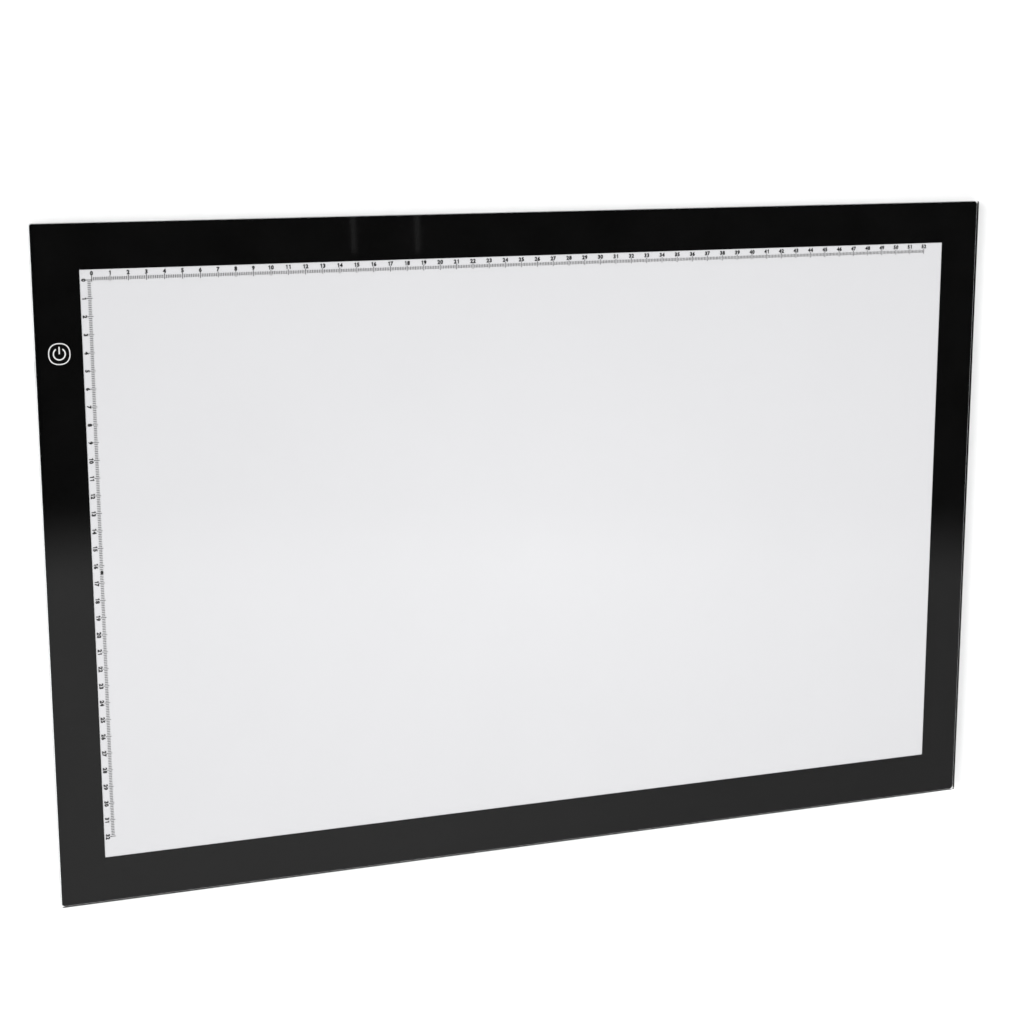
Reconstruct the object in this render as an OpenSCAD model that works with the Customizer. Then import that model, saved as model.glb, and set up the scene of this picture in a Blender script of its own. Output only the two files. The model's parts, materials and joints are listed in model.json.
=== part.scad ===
// Edge-lit drawing light box: a flat tracing pad with a clear face sheet, a black printed border,
// two rows of lamps shining into a light guide, a touch key and a small power inlet in the left edge.
// It lies on its feet, face up: +X to the right, +Y to the rear edge, +Z up, origin under the middle.

/* [Outline] */
// Width of the pad, left to right
panel_w = 590; // [450:1:700]
// Depth of the pad, front to rear
panel_d = 390; // [320:1:500]
// Radius of the four outer corners
corner_r = 0.8; // [0.8:0.1:6]
// Chamfer on the outer rims of the face sheet and the back cover
edge_chamfer = 0.4; // [0.2:0.1:0.6]

/* [Border] */
// Width of the black border on the left, over the control board
border_left = 26; // [26:0.5:34]
// Width of the black border on the right
border_right = 24.5; // [16:0.5:34]
// Width of the black border at the rear
border_rear = 25.5; // [16:0.5:34]
// Width of the black border at the front
border_front = 26.5; // [16:0.5:34]

/* [Layers] */
// Thickness of the clear face sheet
face_t = 2.5; // [2:0.1:4]
// Thickness of the printed ink
ink_t = 0.1; // [0.05:0.05:0.15]
// Thickness of the double-sided tapes
tape_t = 0.2; // [0.1:0.05:0.25]
// Thickness of the diffuser sheet
diffuser_t = 0.5; // [0.3:0.1:1]
// Thickness of the light guide
guide_t = 3; // [3:0.5:5]
// Thickness of the reflector film
reflector_t = 0.3; // [0.2:0.1:0.5]
// Thickness of the back cover
back_t = 1.5; // [1.5:0.1:3]
// Height of the rubber feet below the back cover
foot_h = 1.5; // [1:0.1:3]

/* [Frame] */
// Width of the frame rails between the face sheet and the back cover
rail_w = 8; // [7:0.5:10]

/* [Controls] */
// Distance of the touch key from the left edge
key_from_left = 13.25; // [12.5:0.05:14]
// Distance of the touch key from the rear edge
key_from_rear = 71; // [66:0.5:110]
// Distance of the power inlet from the rear edge
inlet_from_rear = 79.5; // [79:0.5:120]
// Width across the ring of the power symbol
symbol_w = 12; // [10:0.1:13]

/* [Lamps] */
// Distance between one lamp and the next
lamp_pitch = 10; // [8:0.5:20]

/* [Hidden] */
$fn = 48;
glue_t = 0.05;   // glue line under the face sheet
air_gap = 0.05;  // air over the diffuser
fit_gap = 0.05;  // clearance round a screw

// Heights, from the floor up
z_back = foot_h;
z_cavity = z_back + back_t;
z_guide = z_cavity + reflector_t;
z_diffuser = z_guide + guide_t;
z_ink = z_diffuser + diffuser_t + air_gap;
z_face = z_ink + ink_t + glue_t;
z_rail = z_cavity + tape_t;
rail_h = z_ink - tape_t - z_rail;

// Outline and border: the layers between the two sheets stand back a little from the outline
x_edge = panel_w / 2;
y_edge = panel_d / 2;
x_rail = x_edge - rail_w;
y_rail = y_edge - rail_w;
rail_inset = 0.3;
tape_inset = 0.7;
rail_seam = 0.1;  // hairline gap where two rails meet
ink_inset = 0.05;
ink_corner_r = corner_r + 1.4;

// Lamp boards stand against the long rails, and the lamps face the guide
lamp_board_t = 0.8;
lamp_board_h = guide_t;
lamp_t = 0.8;
lamp_w = 3.5;
lamp_h = 2.8;
lamp_gap = 0.4;
guide_y = y_rail - lamp_board_t - lamp_t - lamp_gap;
guide_x_left = -x_edge + border_left - 2;
guide_x_right = x_rail - 2;
guide_w = guide_x_right - guide_x_left;
lamp_board_left = guide_x_left - 8;
lamp_board_right = guide_x_right - 1;
lamp_count = floor((lamp_board_right - guide_x_left - 10) / lamp_pitch);
lamp_first_x = (guide_x_left + lamp_board_right - (lamp_count - 1) * lamp_pitch) / 2;
edge_tape_t = 0.15;
stop_w = 1.6;
stop_h = 3.4;

// Control board, beside the light guide and under the left border
key_x = -x_edge + key_from_left;
key_y = y_edge - key_from_rear;
inlet_y = y_edge - inlet_from_rear;
board_t = 1;
board_left = -x_rail + 0.4;
board_w = 12;
board_front = inlet_y - 18;
board_rear = key_y + 18;
z_board = z_cavity + board_t;

// Power inlet
inlet_w = 7.5;
inlet_h = 2.4;
inlet_depth = 5.6;
inlet_wall = 0.3;
inlet_mouth_x = -x_edge + rail_inset + 0.2;
inlet_bay_w = 9;
inlet_slope = 1.1;
tongue_t = 0.6;
tongue_w = 4.4;
contact_count = 5;
contact_pitch = 0.65;

// Touch key
foil_r = 4.2;
foil_t = 0.1;
foil_z = z_ink - foil_t;
spring_r = 2.4;
spring_wire_r = 0.25;
spring_turns = 3;
spring_steps = 12;
spring_sides = 5;
symbol_t = 0.03;
symbol_stroke = 0.55;
symbol_arc_r = 3.2;
symbol_arc_stroke = 0.7;
symbol_gap_deg = 34;
symbol_bar_h = 4;
symbol_power = 2.35;  // 2 is a circle, and a larger power squares the ring

// Screws
screw_r = 1;
screw_head_r = 1.9;
screw_head_h = 1.1;
screw_l = 4.2;
screw_inset = rail_w / 2;
screw_x = x_edge - 10;
screw_side_y = panel_d / 6;
long_side_screws = [for (sy = [-1, 1], sx = [-1, -1 / 3, 1 / 3, 1])
    [sx * screw_x, sy * (y_edge - screw_inset)]];
short_side_screws = [for (sx = [-1, 1], sy = [-1, 1])
    [sx * (x_edge - screw_inset), sy * screw_side_y]];
screw_spots = concat(long_side_screws, short_side_screws);

// Feet
foot_r = 6;
foot_top_r = 5.4;
foot_x = x_edge - 24;
foot_y = y_edge - 24;

// Leads from the control board to the lamp boards
lead_r = 0.5;
lead_pitch = 1.6;
lead_x = board_left + board_w - 2.2;
lead_z = z_board + lead_r;
lead_end_y = y_rail - lamp_board_t;

// --- Shared shapes ---

// A box given by its low and high corners
module block(low, high) {
    translate(low) cube(high - low);
}

// A rectangle with round corners, centred
module round_rect(w, d, r) {
    square([w - 2 * r, d], center = true);
    square([w, d - 2 * r], center = true);
    for (sx = [-1, 1], sy = [-1, 1])
        translate([sx * (w / 2 - r), sy * (d / 2 - r)]) circle(r);
}

// The chamfered rim of a sheet: its outline shrinks by c over the height c
module chamfer_layer(w, d, r, c) {
    rotate([90, 0, 90]) linear_extrude(w - 2 * r, center = true)
        polygon([[-d / 2, 0], [d / 2, 0], [d / 2 - c, c], [-d / 2 + c, c]]);
    rotate([90, 0, 0]) linear_extrude(d - 2 * r, center = true)
        polygon([[-w / 2, 0], [w / 2, 0], [w / 2 - c, c], [-w / 2 + c, c]]);
    for (sx = [-1, 1], sy = [-1, 1])
        translate([sx * (w / 2 - r), sy * (d / 2 - r), 0]) cylinder(h = c, r1 = r, r2 = r - c);
}

// A whole sheet of the pad's outline with its upper rim chamfered
module sheet(t) {
    linear_extrude(t - edge_chamfer) round_rect(panel_w, panel_d, corner_r);
    translate([0, 0, t - edge_chamfer]) chamfer_layer(panel_w, panel_d, corner_r, edge_chamfer);
}

// Round holes at the screws that lie in one stretch of the outline
module screw_holes(z, h, spots) {
    for (p = spots) translate([p[0], p[1], z]) cylinder(h = h, r = screw_r + fit_gap);
}

// The pad's outline, shrunk by an inset
module inset_outline(inset) {
    round_rect(panel_w - 2 * inset, panel_d - 2 * inset, corner_r);
}

// The ring of double-sided tape on top of or under the rails
module tape_ring(z) {
    difference() {
        translate([0, 0, z]) linear_extrude(tape_t) difference() {
            inset_outline(tape_inset);
            square([2 * x_rail, 2 * y_rail], center = true);
        }
        screw_holes(z - 1, tape_t + 2, screw_spots);
    }
}

// One long rail with the pad's two round corners, at the rear
module long_rail() {
    difference() {
        translate([0, 0, z_rail]) linear_extrude(rail_h) intersection() {
            inset_outline(rail_inset);
            translate([-x_edge, y_rail]) square([panel_w, rail_w]);
        }
        screw_holes(z_rail - 1, screw_l, [for (p = long_side_screws) [p[0], abs(p[1])]]);
    }
}

// A stretch of a short rail from y_low to y_high, on the right
module short_rail(y_low, y_high) {
    difference() {
        block([x_rail, y_low, z_rail], [x_edge - rail_inset, y_high, z_rail + rail_h]);
        screw_holes(z_rail - 1, screw_l, [for (p = short_side_screws) [abs(p[0]), p[1]]]);
    }
}

// One strip of lamps against the rear rail
module lamp_row() {
    for (i = [0 : lamp_count - 1])
        translate([lamp_first_x + i * lamp_pitch - lamp_w / 2,
                   y_rail - lamp_board_t - lamp_t,
                   z_guide + (guide_t - lamp_h) / 2])
            cube([lamp_w, lamp_t, lamp_h]);
}

module lamp_board() {
    block([lamp_board_left, y_rail - lamp_board_t, z_guide],
          [lamp_board_right, y_rail, z_guide + lamp_board_h]);
}

// A straight lead from the control board at y_from to a lamp board at y_to
module lead(x, y_from, y_to) {
    translate([x, min(y_from, y_to), lead_z])
        rotate([-90, 0, 0]) cylinder(h = abs(y_to - y_from), r = lead_r);
}

// One foot: a low round stud that narrows towards the floor
module foot(sx, sy) {
    color("dimgray")
        translate([sx * foot_x, sy * foot_y, 0]) cylinder(h = foot_h, r1 = foot_top_r, r2 = foot_r);
}

// --- Face ---

module face_sheet() {
    color([0.85, 0.88, 0.9, 0.4]) translate([0, 0, z_face]) sheet(face_t);
}

module border_print() {
    color("black") translate([0, 0, z_ink]) linear_extrude(ink_t) difference() {
        round_rect(panel_w - 2 * ink_inset, panel_d - 2 * ink_inset, ink_corner_r);
        translate([-x_edge + border_left, -y_edge + border_front])
            square([panel_w - border_left - border_right, panel_d - border_front - border_rear]);
    }
}

// Points of a ring that is a little squarer than a circle
function ring_point(a, r) = let (
        grow = pow(pow(abs(cos(a)), symbol_power) + pow(abs(sin(a)), symbol_power),
                   -1 / symbol_power)
    ) [r * grow * cos(a), r * grow * sin(a)];

module squared_disc(r) {
    polygon([for (i = [0 : 71]) ring_point(i * 5, r)]);
}

module power_symbol() {
    color("white")
        translate([key_x, key_y, z_ink + ink_t + 0.01]) linear_extrude(symbol_t) {
            difference() {
                squared_disc(symbol_w / 2);
                squared_disc(symbol_w / 2 - symbol_stroke);
            }
            difference() {
                circle(symbol_arc_r + symbol_arc_stroke / 2);
                circle(symbol_arc_r - symbol_arc_stroke / 2);
                polygon([[0, 0], 6 * [cos(90 - symbol_gap_deg), sin(90 - symbol_gap_deg)],
                         6 * [cos(90 + symbol_gap_deg), sin(90 + symbol_gap_deg)]]);
            }
            translate([-symbol_arc_stroke / 2, 0]) square([symbol_arc_stroke, symbol_bar_h]);
        }
}

module face_tape() {
    color("dimgray") tape_ring(z_ink - tape_t);
}

// --- Frame and back ---

module rear_rail() {
    color("gainsboro") long_rail();
}

module front_rail() {
    color("gainsboro") mirror([0, 1, 0]) long_rail();
}

module right_rail() {
    color("gainsboro") short_rail(-y_rail + rail_seam, y_rail - rail_seam);
}

module left_rail_rear() {
    color("gainsboro") mirror([1, 0, 0]) short_rail(inlet_y + inlet_bay_w / 2, y_rail - rail_seam);
}

module left_rail_front() {
    color("gainsboro") mirror([1, 0, 0]) short_rail(-y_rail + rail_seam, inlet_y - inlet_bay_w / 2);
}

module back_tape() {
    color("dimgray") tape_ring(z_cavity);
}

module back_cover() {
    sink = screw_head_h;
    color("whitesmoke") difference() {
        translate([0, 0, z_back + back_t]) mirror([0, 0, 1]) sheet(back_t);
        screw_holes(z_back - 1, back_t + 2, screw_spots);
        for (p = screw_spots) translate([p[0], p[1], z_back])
            cylinder(h = sink, r1 = screw_head_r + fit_gap, r2 = screw_r + fit_gap);
    }
}

module back_screws() {
    slot = 0.45;
    color("silver") for (p = screw_spots) translate([p[0], p[1], z_back]) difference() {
        union() {
            cylinder(h = screw_head_h, r1 = screw_head_r, r2 = screw_r);
            cylinder(h = screw_l, r = screw_r);
        }
        for (turn = [0, 90]) rotate(turn)
            translate([-1.1, -slot / 2, -1]) cube([2.2, slot, 1.7]);
    }
}

// --- Light ---

module diffuser() {
    color("white") block([guide_x_left, -guide_y, z_diffuser],
                         [guide_x_right, guide_y, z_diffuser + diffuser_t]);
}

module light_guide() {
    color([0.8, 0.9, 0.95, 0.5]) block([guide_x_left, -guide_y, z_guide],
                                       [guide_x_right, guide_y, z_diffuser]);
}

module reflector() {
    color("white") block([guide_x_left, -guide_y, z_cavity], [guide_x_right, guide_y, z_guide]);
}

module guide_tape_left() {
    color("white") block([guide_x_left - edge_tape_t, -guide_y, z_guide],
                         [guide_x_left, guide_y, z_diffuser]);
}

module guide_tape_right() {
    color("white") block([guide_x_right, -guide_y, z_guide],
                         [guide_x_right + edge_tape_t, guide_y, z_diffuser]);
}

// A strip that keeps the light guide from sliding towards the control board
module guide_stop(y_low, y_high) {
    x_high = guide_x_left - edge_tape_t;
    color("gainsboro")
        block([x_high - stop_w, y_low, z_cavity], [x_high, y_high, z_cavity + stop_h]);
}

module guide_stop_rear() {
    guide_stop(board_rear + 2, guide_y);
}

module guide_stop_front() {
    guide_stop(-guide_y, board_front - 2);
}

module lamp_board_rear() {
    color("ivory") lamp_board();
}

module lamp_board_front() {
    color("ivory") mirror([0, 1, 0]) lamp_board();
}

module lamps_rear() {
    color("khaki") lamp_row();
}

module lamps_front() {
    color("khaki") mirror([0, 1, 0]) lamp_row();
}

// --- Controls ---

module control_board() {
    color("seagreen") union() {
        block([board_left, board_front, z_cavity], [board_left + board_w, board_rear, z_board]);
        block([-x_edge + 2.6, inlet_y - 4.2, z_cavity], [board_left + 1, inlet_y + 4.2, z_board]);
    }
}

module touch_foil() {
    color("peru") translate([key_x, key_y, foil_z]) cylinder(h = foil_t, r = foil_r);
}

// A round wire wound between the control board and the foil
module touch_spring() {
    rise = foil_z - z_board - 2 * spring_wire_r;
    last = spring_turns * spring_steps;
    rings = [for (i = [0 : last], j = [0 : spring_sides - 1]) let (
            a = 360 * i / spring_steps,
            b = 360 * j / spring_sides,
            r = spring_r + spring_wire_r * cos(b)
        ) [r * cos(a), r * sin(a), spring_wire_r * (1 + sin(b)) + rise * i / last]];
    sides = [for (i = [0 : last - 1], j = [0 : spring_sides - 1]) let (
            k = (j + 1) % spring_sides,
            low = i * spring_sides,
            high = low + spring_sides
        ) [low + j, high + j, high + k, low + k]];
    start = [for (j = [0 : spring_sides - 1]) j];
    end = [for (j = [spring_sides - 1 : -1 : 0]) last * spring_sides + j];
    color("goldenrod") translate([key_x, key_y, z_board])
        polyhedron(rings, concat(sides, [start, end]));
}

// A chip body with legs down its two long sides
module chip(w, d, h, legs, pitch) {
    leg = 0.3;
    translate([-w / 2, -d / 2, 0.1]) cube([w, d, h]);
    for (sx = [-1, 1], i = [0 : legs - 1])
        translate([sx * (w / 2 + 0.35) - 0.45, (i - (legs - 1) / 2) * pitch - leg / 2, 0])
            cube([0.9, leg, 0.5]);
}

module touch_chip() {
    color("black") translate([board_left + 5, board_rear - 6.5, z_board]) chip(3.6, 4.8, 1.3, 4, 1.2);
}

module dimmer_transistor() {
    color("black") translate([board_left + 5, board_front + 5, z_board]) chip(1.6, 2.9, 0.9, 2, 1.9);
}

module capacitors() {
    color("tan") for (i = [0 : 2])
        translate([board_left + 1.6, board_front + 2 + i * 2.4, z_board]) cube([1.2, 1.8, 0.9]);
}

module resistors() {
    color("dimgray") for (i = [0 : 3])
        translate([board_left + 0.8, board_rear - 11 + i * 2.4, z_board]) cube([0.8, 1.6, 0.4]);
}

// Outline of the inlet seen from its mouth: the two lower corners slope
module inlet_outline(w, h, slope) {
    polygon([[-w / 2, h], [w / 2, h], [w / 2, slope], [w / 2 - slope, 0],
             [-w / 2 + slope, 0], [-w / 2, slope]]);
}

module along_inlet(x, length) {
    translate([x, inlet_y, z_board]) rotate([90, 0, 90]) linear_extrude(length) children();
}

module inlet_shell() {
    color("silver") along_inlet(inlet_mouth_x, inlet_depth) difference() {
        inlet_outline(inlet_w, inlet_h, inlet_slope);
        translate([0, inlet_wall])
            inlet_outline(inlet_w - 2 * inlet_wall, inlet_h - 2 * inlet_wall,
                          inlet_slope - inlet_wall / 2);
    }
}

module inlet_tongue() {
    block_depth = 1.2;
    gap = inlet_wall + 0.01;
    color("black") {
        along_inlet(inlet_mouth_x + inlet_depth - block_depth, block_depth)
            translate([0, gap])
                inlet_outline(inlet_w - 2 * gap, inlet_h - 2 * gap, inlet_slope - gap / 2);
        along_inlet(inlet_mouth_x + 1, inlet_depth - block_depth - 1)
            translate([-tongue_w / 2, inlet_h / 2]) square([tongue_w, tongue_t]);
    }
}

module inlet_contacts() {
    contact_w = 0.3;
    contact_t = 0.08;
    color("gold") for (i = [0 : contact_count - 1])
        along_inlet(inlet_mouth_x + 1.2, 3.1)
            translate([(i - (contact_count - 1) / 2) * contact_pitch - contact_w / 2,
                       inlet_h / 2 - contact_t])
                square([contact_w, contact_t]);
}

module rear_lead_red() {
    color("red") lead(lead_x, board_rear - 2, lead_end_y);
}

module rear_lead_black() {
    color("black") lead(lead_x - lead_pitch, board_rear - 2, lead_end_y);
}

module front_lead_red() {
    color("red") lead(lead_x, board_front + 2, -lead_end_y);
}

module front_lead_black() {
    color("black") lead(lead_x - lead_pitch, board_front + 2, -lead_end_y);
}

// --- Feet ---

module foot_rear_left() { foot(-1, 1); }
module foot_rear_middle() { foot(0, 1); }
module foot_rear_right() { foot(1, 1); }
module foot_front_left() { foot(-1, -1); }
module foot_front_middle() { foot(0, -1); }
module foot_front_right() { foot(1, -1); }

face_sheet();
border_print();
power_symbol();
face_tape();
rear_rail();
front_rail();
right_rail();
left_rail_rear();
left_rail_front();
back_tape();
back_cover();
diffuser();
light_guide();
reflector();
guide_tape_left();
guide_tape_right();
guide_stop_rear();
guide_stop_front();
lamp_board_rear();
lamp_board_front();
lamps_rear();
lamps_front();
control_board();
touch_foil();
touch_spring();
touch_chip();
dimmer_transistor();
capacitors();
resistors();
inlet_shell();
inlet_tongue();
inlet_contacts();
rear_lead_red();
rear_lead_black();
front_lead_red();
front_lead_black();
back_screws();
foot_rear_left();
foot_rear_middle();
foot_rear_right();
foot_front_left();
foot_front_middle();
foot_front_right();
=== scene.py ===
import json
import math

import bmesh
import bpy
from mathutils import Matrix, Vector


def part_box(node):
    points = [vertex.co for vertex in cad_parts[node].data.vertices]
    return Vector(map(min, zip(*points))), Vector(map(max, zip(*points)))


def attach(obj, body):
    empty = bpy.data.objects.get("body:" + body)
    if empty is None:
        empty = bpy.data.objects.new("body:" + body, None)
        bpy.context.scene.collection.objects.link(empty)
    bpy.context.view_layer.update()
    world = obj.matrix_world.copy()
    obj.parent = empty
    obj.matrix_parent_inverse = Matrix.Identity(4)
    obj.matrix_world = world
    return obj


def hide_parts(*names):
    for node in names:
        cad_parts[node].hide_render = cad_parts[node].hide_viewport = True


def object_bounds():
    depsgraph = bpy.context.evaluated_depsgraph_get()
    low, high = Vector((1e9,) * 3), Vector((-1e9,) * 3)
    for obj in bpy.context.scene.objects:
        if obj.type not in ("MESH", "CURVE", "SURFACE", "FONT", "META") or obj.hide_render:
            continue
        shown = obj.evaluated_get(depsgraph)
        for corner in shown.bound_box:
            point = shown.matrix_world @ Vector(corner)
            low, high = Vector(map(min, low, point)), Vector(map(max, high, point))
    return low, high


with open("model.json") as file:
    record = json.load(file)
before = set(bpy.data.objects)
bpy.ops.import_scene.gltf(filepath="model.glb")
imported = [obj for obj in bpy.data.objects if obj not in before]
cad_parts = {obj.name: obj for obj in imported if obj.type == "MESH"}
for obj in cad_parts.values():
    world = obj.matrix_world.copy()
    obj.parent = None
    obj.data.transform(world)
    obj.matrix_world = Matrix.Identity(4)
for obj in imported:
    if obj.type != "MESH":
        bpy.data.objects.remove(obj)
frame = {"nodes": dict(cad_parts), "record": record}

CAD_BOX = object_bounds()
MM = 0.001
NODES = frame["nodes"]

# Heights and edges, all read from the frame
SHEET_LOW, SHEET_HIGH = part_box("face_sheet")
SHEET_UNDER, SHEET_TOP = SHEET_LOW.z, SHEET_HIGH.z


def inner_edge(node, axis, side):
    """The window side of a ring-shaped node: its vertices nearest the middle on one side."""
    reach = [side * v.co[axis] for v in NODES[node].data.vertices if side * v.co[axis] > 0]
    return side * min(reach)


WINDOW_LEFT = inner_edge("border_print", 0, -1)
WINDOW_REAR = inner_edge("border_print", 1, 1)

# The printed scales, from the window's rear left corner
SCALE_X_ZERO = WINDOW_LEFT + 6.5 * MM
SCALE_Y_ZERO = WINDOW_REAR - 5.7 * MM
SCALE_X_CM = 52
SCALE_Y_CM = 32
TICK_MIDDLE = 5.05 * MM      # from the window's edge to the middle of the millimetre ticks
TICK_LENGTH = 1.8 * MM
LONG_TICK_LENGTH = 3.2 * MM
TICK_WIDTH = 0.3 * MM
NUMERAL_MIDDLE = 2.05 * MM   # from the window's edge to the middle of the numerals
NUMERAL_HEIGHT = 2.2 * MM
NUMERAL_WEIGHT = 0.045       # how far each stroke grows outward, as a share of the text size

# The small mark on the left scale, beside the middle of the window
CENTRE_MARK_CM = 16.4
CENTRE_MARK_ASIDE = 0.2 * MM  # from the ticks' middle towards the window's middle
CENTRE_MARK_HALF_WIDTH = 0.75 * MM
CENTRE_MARK_HALF_LENGTH = 1.1 * MM
CENTRE_MARK_SIDES = 24

# The ink of the scales, which lies just under the face sheet
INK_THICKNESS = 0.02 * MM
INK_UNDER_SHEET = 0.05 * MM
INK_HIGH = SHEET_UNDER - INK_UNDER_SHEET
INK_LOW = INK_HIGH - INK_THICKNESS


# --- Materials ---

ACRYLIC_IOR = 1.49
POLISH = 0.02                      # roughness of polished acrylic
EDGE_ROUGHNESS = 0.22              # of its sawn edges, where it wanders in the range below
EDGE_ROUGHNESS_RANGE = (0.15, 0.32)
FILM_PAINTED_LIGHT_SCALE = (2.6, 4.2, 0)    # one over the half size in metres of the painted pool of light that makes the diffuser's middle brighter
FILM_MOTTLE = 0.06

# Sockets of a Mix node that carry its factor, and its colours and numbers in and out
MIX_FACTOR = 0
MIX_NUMBER_A, MIX_NUMBER_B, MIX_NUMBER_OUT = 2, 3, 0
MIX_COLOUR_A, MIX_COLOUR_B, MIX_COLOUR_OUT = 6, 7, 2


def new_material(name, colour, roughness, metallic=0.0, specular=0.5):
    """A material with its Principled shader set to plain values: (material, tree, shader)."""
    material = bpy.data.materials.new(name)
    material.use_nodes = True
    tree = material.node_tree
    shader = tree.nodes["Principled BSDF"]
    shader.inputs["Base Color"].default_value = (*colour, 1)
    shader.inputs["Roughness"].default_value = roughness
    shader.inputs["Metallic"].default_value = metallic
    shader.inputs["Specular IOR Level"].default_value = specular
    return material, tree, shader


def add_node(tree, kind, **values):
    """A shader node, with its sockets and settings given by name."""
    node = tree.nodes.new(kind)
    for key, value in values.items():
        label = key.replace("_", " ")
        if label in node.inputs:
            node.inputs[label].default_value = value
        else:
            setattr(node, key, value)
    return node


def noise(tree, scale, detail=3.0, stretch=(1, 1, 1)):
    """A noise pattern in the part's own metres."""
    place = add_node(tree, "ShaderNodeTexCoord")
    size = add_node(tree, "ShaderNodeMapping")
    size.inputs["Scale"].default_value = stretch
    pattern = add_node(tree, "ShaderNodeTexNoise", Scale=scale, Detail=detail)
    tree.links.new(place.outputs["Object"], size.inputs["Vector"])
    tree.links.new(size.outputs["Vector"], pattern.inputs["Vector"])
    return pattern.outputs["Fac"]


def ramp(tree, factor, low, high, start=0.3, end=0.7):
    """Maps a pattern to the range from low to high, as it goes from start to end."""
    node = add_node(tree, "ShaderNodeMapRange")
    for key, value in (("From Min", start), ("From Max", end), ("To Min", low), ("To Max", high)):
        node.inputs[key].default_value = value
    tree.links.new(factor, node.inputs["Value"])
    return node.outputs["Result"]


def vary_colour(tree, shader, factor, dark, light):
    """Drives the base colour between two close colours."""
    mix = add_node(tree, "ShaderNodeMix", data_type="RGBA")
    mix.inputs[MIX_COLOUR_A].default_value = (*dark, 1)
    mix.inputs[MIX_COLOUR_B].default_value = (*light, 1)
    tree.links.new(factor, mix.inputs[MIX_FACTOR])
    tree.links.new(mix.outputs[MIX_COLOUR_OUT], shader.inputs["Base Color"])


def bump(tree, shader, height, distance):
    """Fine relief from a pattern, distance metres deep."""
    node = add_node(tree, "ShaderNodeBump", Strength=1.0, Distance=distance)
    tree.links.new(height, node.inputs["Height"])
    tree.links.new(node.outputs["Normal"], shader.inputs["Normal"])


def speckled(name, dark, light, rough, scale, metallic=0.0, specular=0.5, grain=0.0, grain_scale=0.0):
    """A surface whose colour and roughness wander a little, with an optional fine grain.

    rough is the range of the roughness, scale the pattern's, and grain the depth of the grain.
    """
    material, tree, shader = new_material(name, light, sum(rough) / 2, metallic, specular)
    pattern = noise(tree, scale)
    vary_colour(tree, shader, ramp(tree, pattern, 0, 1), dark, light)
    tree.links.new(ramp(tree, pattern, rough[0], rough[1]), shader.inputs["Roughness"])
    if grain:
        bump(tree, shader, noise(tree, grain_scale, detail=4.0), grain)
    return material


def side_factor(tree, geometry):
    """1 on faces that stand upright and 0 on faces that lie flat."""
    split = add_node(tree, "ShaderNodeSeparateXYZ")
    size = add_node(tree, "ShaderNodeMath", operation="ABSOLUTE")
    tree.links.new(geometry.outputs["Normal"], split.inputs["Vector"])
    tree.links.new(split.outputs["Z"], size.inputs[0])
    return ramp(tree, size.outputs[0], 1, 0, 0.3, 0.6)


def mix_shaders(tree, factor, first, second):
    """The first shader where factor is 0, and the second where it is 1."""
    mix = add_node(tree, "ShaderNodeMixShader")
    tree.links.new(factor, mix.inputs["Fac"])
    tree.links.new(first.outputs[0], mix.inputs[1])
    tree.links.new(second.outputs[0], mix.inputs[2])
    return mix


def clear_sheet(name, edge_colour):
    """Clear polished acrylic: glossy see-through faces, pale satin edges that mirror from inside."""
    material, tree, edge = new_material(name, edge_colour, EDGE_ROUGHNESS)
    geometry = add_node(tree, "ShaderNodeNewGeometry")
    inside = geometry.outputs["Backfacing"]
    clear = add_node(tree, "ShaderNodeBsdfTransparent")
    gloss = add_node(tree, "ShaderNodeBsdfGlossy", Roughness=POLISH)
    fresnel = add_node(tree, "ShaderNodeFresnel", IOR=ACRYLIC_IOR)
    outside = add_node(tree, "ShaderNodeMath", operation="SUBTRACT")
    outside.inputs[0].default_value = 1
    weight = add_node(tree, "ShaderNodeMath", operation="MULTIPLY")
    links = tree.links
    links.new(inside, outside.inputs[1])
    links.new(fresnel.outputs["Fac"], weight.inputs[0])
    links.new(outside.outputs[0], weight.inputs[1])
    face = mix_shaders(tree, weight.outputs[0], clear, gloss)
    mirror = add_node(tree, "ShaderNodeBsdfGlossy", Roughness=POLISH)
    wall = mix_shaders(tree, inside, edge, mirror)
    whole = mix_shaders(tree, side_factor(tree, geometry), face, wall)
    saw_marks = noise(tree, 900, stretch=(1, 1, 4))
    links.new(ramp(tree, saw_marks, *EDGE_ROUGHNESS_RANGE), edge.inputs["Roughness"])
    links.new(whole.outputs[0], tree.nodes["Material Output"].inputs["Surface"])
    return material


def milky_film(name, rim_colour, lit_middle_colour):
    """A milky film with a painted pool of light, a little brighter towards the middle of the part and
    darker towards its rim, with a faint mottle.
    """
    material, tree, shader = new_material(name, lit_middle_colour, 0.55, specular=0.1)
    place = add_node(tree, "ShaderNodeTexCoord")
    spread = add_node(tree, "ShaderNodeMapping")
    spread.inputs["Scale"].default_value = FILM_PAINTED_LIGHT_SCALE
    # Painted light: a soft round pool of light in the base colour, lighter in the middle of the part
    painted_light_pool = add_node(tree, "ShaderNodeTexGradient", gradient_type="SPHERICAL")
    mottle = ramp(tree, noise(tree, 14, detail=5.0), -FILM_MOTTLE, FILM_MOTTLE)
    total = add_node(tree, "ShaderNodeMath", operation="ADD", use_clamp=True)
    tree.links.new(place.outputs["Object"], spread.inputs["Vector"])
    tree.links.new(spread.outputs["Vector"], painted_light_pool.inputs["Vector"])
    tree.links.new(ramp(tree, painted_light_pool.outputs["Fac"], 0, 1, 0.0, 1.0), total.inputs[0])
    tree.links.new(mottle, total.inputs[1])
    vary_colour(tree, shader, total.outputs[0], rim_colour, lit_middle_colour)
    tree.links.new(ramp(tree, noise(tree, 300), 0.5, 0.6), shader.inputs["Roughness"])
    return material


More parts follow.
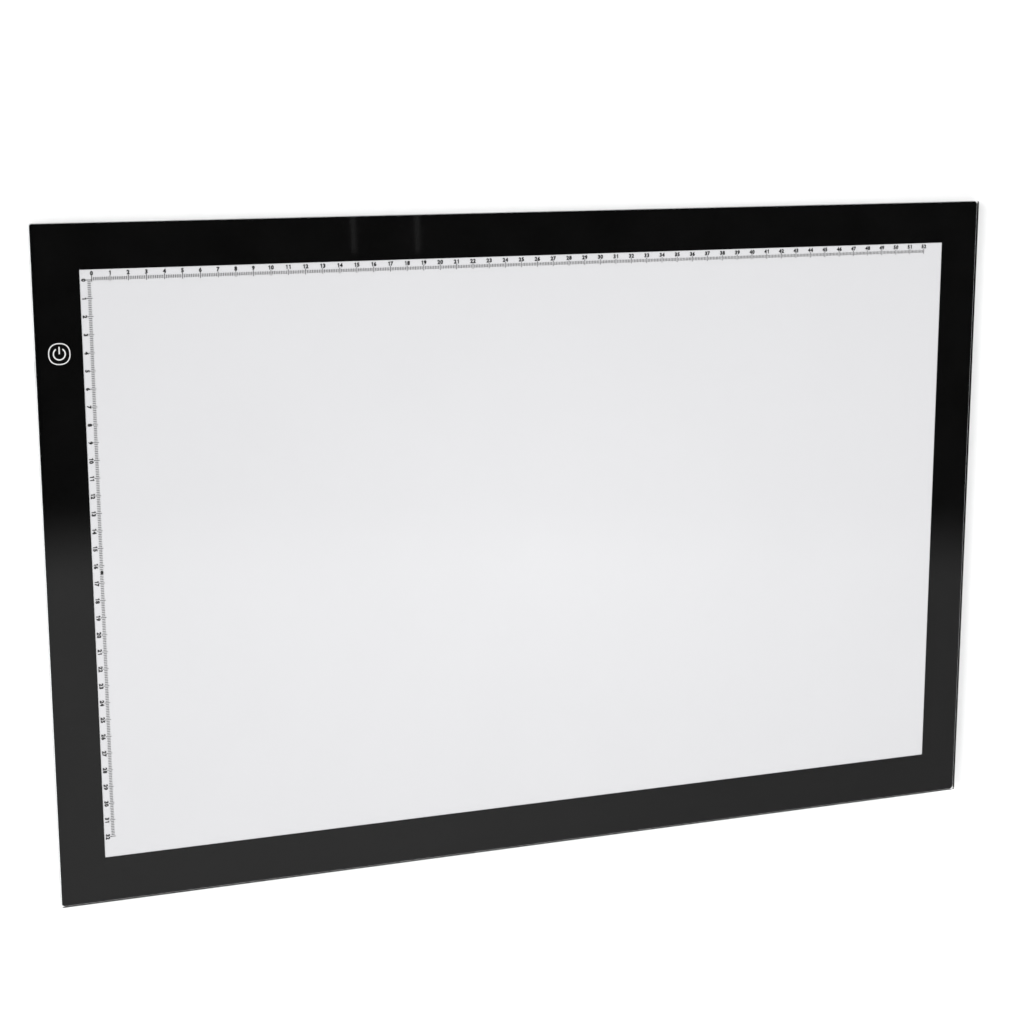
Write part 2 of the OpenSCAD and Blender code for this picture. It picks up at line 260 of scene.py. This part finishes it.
def make_materials():
    """One material for each of the record's slots."""
    return {
        "clear_acrylic": clear_sheet("clear_acrylic", (0.62, 0.66, 0.67)),
        "guide_acrylic": clear_sheet("guide_acrylic", (0.72, 0.84, 0.82)),
        "black_ink": speckled("black_ink", (0.0015,) * 3, (0.0022,) * 3, (0.45, 0.6), 40, specular=0.02),
        "scale_ink": speckled("scale_ink", (0.012,) * 3, (0.02,) * 3, (0.5, 0.6), 400, specular=0.05),
        "white_ink": speckled("white_ink", (0.72,) * 3, (0.8,) * 3, (0.4, 0.5), 600, specular=0.1),
        "frame_plastic": speckled("frame_plastic", (0.6, 0.61, 0.61), (0.66, 0.67, 0.67),
                                  (0.32, 0.45), 60, grain=0.00003, grain_scale=2500),
        "tape": speckled("tape", (0.5, 0.5, 0.5), (0.6, 0.6, 0.59), (0.8, 0.95), 700, specular=0.2,
                         grain=0.00005, grain_scale=4000),
        "back_plastic": speckled("back_plastic", (0.635, 0.635, 0.63), (0.66, 0.66, 0.655), (0.42, 0.55),
                                 25, grain=0.00012, grain_scale=1400),
        # The diffuser's lighter second colour is painted light in its middle
        "diffuser_film": milky_film("diffuser_film", (0.655, 0.655, 0.668), (0.715, 0.715, 0.728)),
        "reflector_film": speckled("reflector_film", (0.86,) * 3, (0.9,) * 3, (0.25, 0.35), 30),
        "lamp_board_white": speckled("lamp_board_white", (0.8, 0.8, 0.76), (0.86, 0.86, 0.83),
                                     (0.3, 0.4), 200),
        "lamp_package": speckled("lamp_package", (0.8, 0.72, 0.3), (0.86, 0.8, 0.42), (0.25, 0.4), 900),
        "board_green": speckled("board_green", (0.01, 0.1, 0.035), (0.02, 0.16, 0.06), (0.2, 0.35), 300),
        "copper": speckled("copper", (0.6, 0.3, 0.17), (0.75, 0.42, 0.26), (0.25, 0.4), 500, metallic=1),
        "contact_gold": speckled("contact_gold", (0.75, 0.52, 0.2), (0.85, 0.63, 0.3), (0.2, 0.35), 900,
                                 metallic=1),
        "chip_black": speckled("chip_black", (0.015,) * 3, (0.03,) * 3, (0.45, 0.65), 900,
                               grain=0.00002, grain_scale=9000),
        "capacitor_tan": speckled("capacitor_tan", (0.36, 0.25, 0.15), (0.45, 0.33, 0.2), (0.4, 0.5), 900),
        "shell_steel": speckled("shell_steel", (0.5,) * 3, (0.6,) * 3, (0.22, 0.4), 800, metallic=1),
        "screw_steel": speckled("screw_steel", (0.48,) * 3, (0.6,) * 3, (0.25, 0.45), 1200, metallic=1),
        "lead_red": speckled("lead_red", (0.42, 0.015, 0.012), (0.52, 0.03, 0.02), (0.4, 0.5), 300),
        "lead_black": speckled("lead_black", (0.012,) * 3, (0.02,) * 3, (0.4, 0.5), 300),
        "foot_rubber": speckled("foot_rubber", (0.02,) * 3, (0.035,) * 3, (0.7, 0.85), 400, specular=0.3,
                                grain=0.00006, grain_scale=3000),
    }


MATERIALS = make_materials()


def paint_frame():
    """Gives every CAD node the detailed material of its slot."""
    for part in frame["record"]["subparts"]:
        for slot in NODES[part["node"]].material_slots:
            slot.link = "OBJECT"
            slot.material = MATERIALS[part["material_slot"]]


# --- Pieces ---

def finish_piece(mesh_builder, name, material, smooth=False):
    """Turns a bmesh into a piece of the object."""
    mesh = bpy.data.meshes.new(name)
    bmesh.ops.recalc_face_normals(mesh_builder, faces=mesh_builder.faces)
    mesh_builder.to_mesh(mesh)
    mesh_builder.free()
    if smooth:
        mesh.shade_smooth()
    piece = bpy.data.objects.new(name, mesh)
    bpy.context.scene.collection.objects.link(piece)
    mesh.materials.append(MATERIALS[material])
    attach(piece, "root")
    return piece


def add_ring(builder, x, y, z, radius_x, radius_y, sides):
    """A level ring of vertices around a centre."""
    ring = []
    for i in range(sides):
        angle = 2 * math.pi * i / sides
        ring.append(builder.verts.new((x + radius_x * math.cos(angle), y + radius_y * math.sin(angle), z)))
    return ring


def close_solid(builder, low, high):
    """The solid between two equal outlines, one above the other: its two ends and its walls."""
    builder.faces.new(low[::-1])
    builder.faces.new(high)
    for i in range(len(low)):
        j = (i + 1) % len(low)
        builder.faces.new((low[i], low[j], high[j], high[i]))


def add_plate(builder, x_low, y_low, x_high, y_high):
    """A thin rectangle of ink."""
    corners = [(x_low, y_low), (x_high, y_low), (x_high, y_high), (x_low, y_high)]
    low = [builder.verts.new((x, y, INK_LOW)) for x, y in corners]
    high = [builder.verts.new((x, y, INK_HIGH)) for x, y in corners]
    close_solid(builder, low, high)


def tick_length(millimetres):
    """Longer at each whole centimetre."""
    return LONG_TICK_LENGTH if millimetres % 10 == 0 else TICK_LENGTH


def scale_ticks():
    """The millimetre ticks of both scales, longer at each centimetre."""
    half = TICK_WIDTH / 2
    rear = bmesh.new()
    middle = WINDOW_REAR - TICK_MIDDLE
    for i in range(SCALE_X_CM * 10 + 1):
        x = SCALE_X_ZERO + i * MM
        reach = tick_length(i) / 2
        add_plate(rear, x - half, middle - reach, x + half, middle + reach)
    finish_piece(rear, "rear_scale_ticks", "scale_ink")
    left = bmesh.new()
    middle = WINDOW_LEFT + TICK_MIDDLE
    for i in range(SCALE_Y_CM * 10 + 1):
        y = SCALE_Y_ZERO - i * MM
        reach = tick_length(i) / 2
        add_plate(left, middle - reach, y - half, middle + reach, y + half)
    finish_piece(left, "left_scale_ticks", "scale_ink")


# The printed digits, in shares of the text size apart from the last
DIGIT_HEIGHT = 0.729
DIGIT_PITCH = 0.58
MERGE_DISTANCE = 0.001 * MM
ONE_LOW, ONE_HIGH = -NUMERAL_WEIGHT, 0.727
ONE_OUTLINE = [(-0.04, ONE_LOW), (0.12, ONE_LOW), (0.12, ONE_HIGH), (-0.01, ONE_HIGH),
               (-0.19, 0.6), (-0.19, 0.46), (-0.04, 0.54)]


def font_digit(digit):
    """A digit of the built-in typeface as a flat mesh."""
    curve = bpy.data.curves.new(f"digit_{digit}", "FONT")
    curve.body = digit
    curve.size = 1
    curve.offset = NUMERAL_WEIGHT
    curve.resolution_u = 3
    curve.fill_mode = "FRONT"
    text = bpy.data.objects.new(curve.name, curve)
    bpy.context.scene.collection.objects.link(text)
    graph = bpy.context.evaluated_depsgraph_get()
    mesh = bpy.data.meshes.new_from_object(text.evaluated_get(graph), depsgraph=graph)
    bpy.data.objects.remove(text)
    bpy.data.curves.remove(curve)
    return mesh


def digit_mesh(digit):
    """A printed digit as a flat mesh, centred. The one has a flag, and the nine is a six turned over."""
    if digit == "1":
        mesh = bpy.data.meshes.new("digit_1")
        mesh.from_pydata([(x, y, 0) for x, y in ONE_OUTLINE], [], [range(len(ONE_OUTLINE))])
    else:
        mesh = font_digit("6" if digit == "9" else digit)
    xs = [v.co.x for v in mesh.vertices]
    ys = [v.co.y for v in mesh.vertices]
    mesh.transform(Matrix.Translation((-(min(xs) + max(xs)) / 2, -(min(ys) + max(ys)) / 2, 0)))
    if digit == "9":
        mesh.transform(Matrix.Rotation(math.pi, 4, "Z"))
    return mesh


def scale_numerals(name, count, place, turn):
    """One printed number for each centimetre. place gives the middle of number i."""
    digits = {digit: digit_mesh(digit) for digit in "0123456789"}
    size = NUMERAL_HEIGHT / DIGIT_HEIGHT
    builder = bmesh.new()
    for i in range(count + 1):
        number = str(i)
        spot = (Matrix.Translation(Vector((*place(i), INK_LOW)))
                @ Matrix.Rotation(turn, 4, "Z")
                @ Matrix.Diagonal((size, size, 1, 1)))
        for k, digit in enumerate(number):
            aside = (k - (len(number) - 1) / 2) * DIGIT_PITCH
            mesh = digits[digit].copy()
            mesh.transform(spot @ Matrix.Translation((aside, 0, 0)))
            builder.from_mesh(mesh)
            bpy.data.meshes.remove(mesh)
    for mesh in digits.values():
        bpy.data.meshes.remove(mesh)
    bmesh.ops.remove_doubles(builder, verts=builder.verts, dist=MERGE_DISTANCE)
    raised = bmesh.ops.extrude_face_region(builder, geom=builder.faces[:])["geom"]
    tops = [v for v in raised if isinstance(v, bmesh.types.BMVert)]
    bmesh.ops.translate(builder, vec=(0, 0, INK_THICKNESS), verts=tops)
    finish_piece(builder, name, "scale_ink")


def centre_mark():
    """The small printed mark on the left scale beside the middle of the window."""
    builder = bmesh.new()
    x = WINDOW_LEFT + TICK_MIDDLE + CENTRE_MARK_ASIDE
    y = SCALE_Y_ZERO - CENTRE_MARK_CM * 10 * MM
    size = (CENTRE_MARK_HALF_WIDTH, CENTRE_MARK_HALF_LENGTH, CENTRE_MARK_SIDES)
    low = add_ring(builder, x, y, INK_LOW, *size)
    high = add_ring(builder, x, y, INK_HIGH, *size)
    close_solid(builder, low, high)
    finish_piece(builder, "left_scale_centre_mark", "scale_ink")


def lathe(builder, centre, profile, sides=64):
    """A closed turned body from (radius, height) points that start and end on the axis."""
    rings = []
    for radius, height in profile:
        if radius == 0:
            rings.append([builder.verts.new((centre.x, centre.y, height))])
        else:
            rings.append(add_ring(builder, centre.x, centre.y, height, radius, radius, sides))
    for low, high in zip(rings, rings[1:]):
        for i in range(sides):
            j = (i + 1) % sides
            corners = [low[i % len(low)], low[j % len(low)], high[j % len(high)], high[i % len(high)]]
            # A ring on the axis is a single point, so two of the corners are then the same
            builder.faces.new(list(dict.fromkeys(corners)))


# The moulded feet
FOOT_FLOOR_SHARE = 0.9        # radius where the foot meets the floor, of its whole radius
FOOT_RIM_SHARE = 0.22         # rounding of the rim, of the foot's height
FOOT_RIM_STEPS = 5
FOOT_GROOVE_SHARE = 0.12      # depth of the groove and the dimple, of the foot's height
GROOVE_START, GROOVE_END = 0.62, 0.78  # of the radius on the floor
GROOVE_SLOPE = 0.04
DIMPLE_RADIUS = 1.2 * MM
DIMPLE_RIM_RADIUS = 1.6 * MM
FOOT_DRAFT = 0.05 * MM        # the foot widens by this much under its top
FOOT_LIP = 0.15 * MM          # over this height
FOOT_SMOOTH_ANGLE = math.radians(35)


def foot_profile(low, high, radius):
    """The outline of a foot from the middle of its underside round to the middle of its top."""
    height = high - low
    floor_radius = radius * FOOT_FLOOR_SHARE
    rim = height * FOOT_RIM_SHARE
    groove = height * FOOT_GROOVE_SHARE
    profile = [(0, low + groove), (DIMPLE_RADIUS, low + groove), (DIMPLE_RIM_RADIUS, low),
               (floor_radius * GROOVE_START, low),
               (floor_radius * (GROOVE_START + GROOVE_SLOPE), low + groove),
               (floor_radius * (GROOVE_END - GROOVE_SLOPE), low + groove),
               (floor_radius * GROOVE_END, low)]
    for i in range(FOOT_RIM_STEPS + 1):
        angle = math.pi / 2 * i / FOOT_RIM_STEPS
        profile.append((floor_radius - rim + rim * math.sin(angle), low + rim - rim * math.cos(angle)))
    return profile + [(radius - FOOT_DRAFT, high - FOOT_LIP), (radius, high), (0, high)]


def rubber_feet():
    """Moulded feet with a rounded rim, a shallow groove and a dimple underneath."""
    for node in [name for name in NODES if name.startswith("foot_")]:
        low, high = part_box(node)
        builder = bmesh.new()
        lathe(builder, (low + high) / 2, foot_profile(low.z, high.z, (high.x - low.x) / 2))
        piece = finish_piece(builder, f"moulded_{node}", "foot_rubber", smooth=True)
        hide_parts(node)
        edges = piece.modifiers.new("hard_edges", "EDGE_SPLIT")
        edges.split_angle = FOOT_SMOOTH_ANGLE


# --- Stage ---

FLOOR_RADIUS = 6
FLOOR_SIDES = 96
FLOOR_COLOUR = (0.95, 0.95, 0.95)
FLOOR_ROUGHNESS = 0.9

# Brightness of the room around the pad
HORIZON_LEVEL = 1.05
WALL_LEVEL = 0.35
REAR_CEILING_LEVEL = 0.025
FRONT_LEFT_LEVEL = 0.83
FRONT_RIGHT_LEVEL = 0.6
STAND_LEVEL = 0.4

# Where one brightness turns into the next, as parts of a direction of length 1
HORIZON_FADE = (0.2, 0.08)          # up, from the walls down to the horizon
CEILING_FADE = (0.55, 0.75)         # up, from the walls to the ceiling
REAR_FADE = (-0.232, -0.19)         # towards the rear, from the lit ceiling to the dark one
RIGHT_FADE = (0.25, 0.5)            # to the right, along the lit ceiling
STANDS_FADE = (-0.079, -0.075)      # towards the rear, where the two light stands begin
STAND_SIDES = (0.269, 0.2982)       # to the right, the middle of each stand
STAND_HALF_WIDTH = 0.0018

LIGHT_ANGLE = math.radians(36)


def stage_floor():
    """A wide plain floor under the feet."""
    builder = bmesh.new()
    builder.faces.new(add_ring(builder, 0, 0, CAD_BOX[0].z, FLOOR_RADIUS, FLOOR_RADIUS, FLOOR_SIDES))
    mesh = bpy.data.meshes.new("floor")
    builder.to_mesh(mesh)
    builder.free()
    material = new_material("floor", FLOOR_COLOUR, FLOOR_ROUGHNESS, specular=0.0)[0]
    mesh.materials.append(material)
    floor = bpy.data.objects.new("floor", mesh)
    bpy.context.scene.collection.objects.link(floor)


def sky_step(tree, value, start, end):
    """A soft step from 0 to 1 between start and end."""
    node = add_node(tree, "ShaderNodeMapRange", interpolation_type="SMOOTHSTEP")
    node.inputs["From Min"].default_value = start
    node.inputs["From Max"].default_value = end
    tree.links.new(value, node.inputs["Value"])
    return node.outputs["Result"]


def blend_value(tree, factor, low, high):
    """low where factor is 0, and high where it is 1. Each is a number or a socket."""
    node = add_node(tree, "ShaderNodeMix", data_type="FLOAT")
    tree.links.new(factor, node.inputs[MIX_FACTOR])
    for index, value in ((MIX_NUMBER_A, low), (MIX_NUMBER_B, high)):
        if isinstance(value, (int, float)):
            node.inputs[index].default_value = value
        else:
            tree.links.new(value, node.inputs[index])
    return node.outputs[MIX_NUMBER_OUT]


def sky_streak(tree, value, centre, half_width):
    """1 at the centre value, fading to 0 at half_width to each side."""
    offset = add_node(tree, "ShaderNodeMath", operation="SUBTRACT")
    offset.inputs[1].default_value = centre
    away = add_node(tree, "ShaderNodeMath", operation="ABSOLUTE")
    tree.links.new(value, offset.inputs[0])
    tree.links.new(offset.outputs[0], away.inputs[0])
    return sky_step(tree, away.outputs[0], half_width, 0)


def studio_world():
    """A room with a bright horizon, dim walls and a dark ceiling, lit in front, with two thin stands."""
    world = bpy.data.worlds.new("studio")
    bpy.context.scene.world = world
    world.use_nodes = True
    tree = world.node_tree
    place = add_node(tree, "ShaderNodeTexCoord")
    split = add_node(tree, "ShaderNodeSeparateXYZ")
    tree.links.new(place.outputs["Generated"], split.inputs["Vector"])
    right, rear, up = (split.outputs[axis] for axis in "XYZ")
    front = blend_value(tree, sky_step(tree, right, *RIGHT_FADE), FRONT_LEFT_LEVEL, FRONT_RIGHT_LEVEL)
    ceiling = blend_value(tree, sky_step(tree, rear, *REAR_FADE), front, REAR_CEILING_LEVEL)
    stands_begin = sky_step(tree, rear, *STANDS_FADE)
    for side in STAND_SIDES:
        stand = add_node(tree, "ShaderNodeMath", operation="MULTIPLY")
        tree.links.new(sky_streak(tree, right, side, STAND_HALF_WIDTH), stand.inputs[0])
        tree.links.new(stands_begin, stand.inputs[1])
        ceiling = blend_value(tree, stand.outputs[0], ceiling, STAND_LEVEL)
    around = blend_value(tree, sky_step(tree, up, *HORIZON_FADE), WALL_LEVEL, HORIZON_LEVEL)
    level = blend_value(tree, sky_step(tree, up, *CEILING_FADE), around, ceiling)
    background = tree.nodes["Background"]
    background.inputs["Color"].default_value = (1, 1, 1, 1)
    tree.links.new(level, background.inputs["Strength"])


def add_light(name, direction, strength):
    """A wide soft light, far away in one direction, that lights the pad and the floor evenly."""
    data = bpy.data.lights.new(name, "SUN")
    data.angle = LIGHT_ANGLE
    data.energy = strength
    light = bpy.data.objects.new(name, data)
    light.rotation_mode = "QUATERNION"
    light.rotation_quaternion = Vector(direction).to_track_quat("Z", "Y")
    bpy.context.scene.collection.objects.link(light)


def studio_lights():
    """One light from the left, one from the front and one from the right rear."""
    add_light("key", (-0.85, 0.1, 0.52), 2.65)
    add_light("fill", (-0.3, -0.85, 0.43), 2.0)
    add_light("back", (0.75, 0.5, 0.43), 2.1)


# --- Camera ---

CAMERA_TARGET = Vector((-0.0197, 0.0174, SHEET_TOP))
CAMERA_AZIMUTH = math.radians(-121.001)
CAMERA_ELEVATION = math.radians(67.024)
CAMERA_DISTANCE = 1.23759
CAMERA_ROLL = math.radians(118.806)
CAMERA_LENS = 72.75
CAMERA_SENSOR = 36


def place_camera():
    """Above the left rear of the pad, looking down at it, rolled so that the rear edge is at the top."""
    back = Vector((math.sin(CAMERA_AZIMUTH) * math.cos(CAMERA_ELEVATION),
                   -math.cos(CAMERA_AZIMUTH) * math.cos(CAMERA_ELEVATION),
                   math.sin(CAMERA_ELEVATION)))
    data = bpy.data.cameras.new("camera")
    data.sensor_width = CAMERA_SENSOR
    data.lens = CAMERA_LENS
    data.clip_start = 0.01
    data.clip_end = 50
    camera = bpy.data.objects.new("camera", data)
    bpy.context.scene.collection.objects.link(camera)
    camera.location = CAMERA_TARGET + back * CAMERA_DISTANCE
    camera.rotation_mode = "QUATERNION"
    level = (-back).to_track_quat("-Z", "Y").to_matrix().to_4x4()
    camera.rotation_quaternion = (level @ Matrix.Rotation(CAMERA_ROLL, 4, "Z")).to_quaternion()
    bpy.context.scene.camera = camera


# --- The scene ---

place_camera()
stage_floor()
studio_world()
studio_lights()
paint_frame()
scale_ticks()
scale_numerals("rear_scale_numerals", SCALE_X_CM,
               lambda i: (SCALE_X_ZERO + i * 10 * MM, WINDOW_REAR - NUMERAL_MIDDLE), 0)
scale_numerals("left_scale_numerals", SCALE_Y_CM,
               lambda i: (WINDOW_LEFT + NUMERAL_MIDDLE, SCALE_Y_ZERO - i * 10 * MM), -math.pi / 2)
centre_mark()
rubber_feet()

bpy.context.scene.view_settings.view_transform = "Standard"
